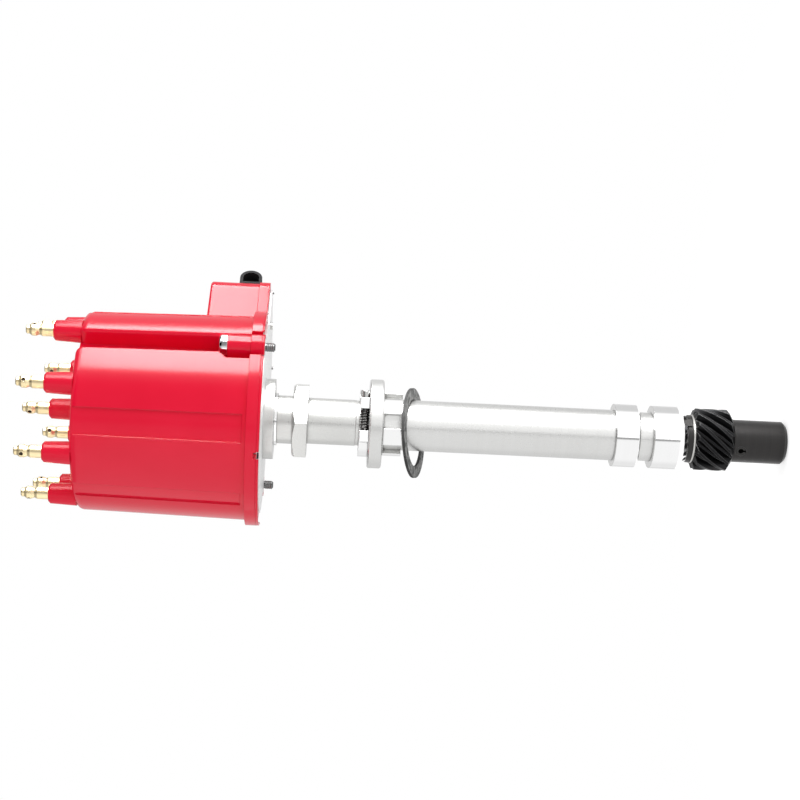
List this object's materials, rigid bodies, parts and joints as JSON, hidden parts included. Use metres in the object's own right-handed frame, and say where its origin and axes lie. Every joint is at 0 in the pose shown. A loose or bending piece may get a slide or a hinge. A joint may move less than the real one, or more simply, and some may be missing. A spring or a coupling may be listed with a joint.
{
  "type": "ignition distributor",
  "caption": "Engine ignition distributor with a tall moulded cap and plug terminals, a side module box, a long housing with a sliding clamp collar, and a helical drive gear.",
  "frame": {"origin": "centre of the slip collar's seating face, on the shaft axis", "axes": "+Z along the shaft axis up to the cap, +X towards the module box"},
  "size_m": [0.1358, 0.108, 0.3817],
  "materials": {
    "cap_red": "gloss moulded red, softly polished",
    "brass": "turned brass, satin",
    "cast_alu": "fine satin cast and turned aluminium",
    "machined_alu": "turned and lightly blasted aluminium",
    "steel": "ground steel",
    "dark_steel": "oiled dark steel",
    "chrome": "bright plated",
    "bronze": "sintered oil bronze",
    "gear_black": "black oxide, lightly oiled",
    "hub_grey": "dark phosphate",
    "gasket_fibre": "dark pressed fibre",
    "black_plastic": "black moulding",
    "ferrite": "bonded magnet",
    "coil_tape": "taped winding",
    "carbon": "moulded carbon"
  },
  "bodies": {
    "housing": {"housing": "cast_alu", "lower_bushing": "bronze", "upper_bushing": "bronze", "thrust_washer": "dark_steel", "lower_pole": "steel", "magnet_ring": "ferrite", "pole_piece": "steel", "pickup_coil": "coil_tape", "pickup_retainer": "steel", "ignition_module": "black_plastic", "module_blades": "brass", "module_screws": "steel", "module_pins": "steel", "cap": "cap_red", "spark_terminals": "brass", "coil_terminal": "brass", "button_spring": "steel", "cap_screws": "chrome"},
    "rotating": {"shaft": "steel", "timer_core": "steel", "rotor": "cap_red", "rotor_blade": "brass", "drive_gear": "gear_black", "roll_pin": "dark_steel", "shim_thin": "dark_steel", "shim_thick": "steel"},
    "collar": {"slip_collar": "machined_alu", "clamp_ring": "machined_alu", "pinch_screw": "dark_steel"},
    "gasket": {"gasket": "gasket_fibre"},
    "button": {"carbon_button": "carbon"}
  },
  "joints": [
    {"name": "shaft_spin", "type": "hinge", "parent": "housing", "child": "rotating", "pos_m": [0, 0, 0], "axis": [0, 0, 1], "continuous": true},
    {"name": "collar_slide", "type": "slide", "parent": "housing", "child": "collar", "axis": [0, 0, 1], "range_m": [0, 0.0127]},
    {"name": "gasket_slide", "type": "slide", "parent": "housing", "child": "gasket", "axis": [0, 0, 1], "range_m": [-0.085, 0]},
    {"name": "button_press", "type": "slide", "parent": "housing", "child": "button", "axis": [0, 0, 1], "range_m": [0, 0.001], "stiffness_N_per_m": 400, "springref_m": -0.003, "deforming": ["button_spring"]}
  ]
}
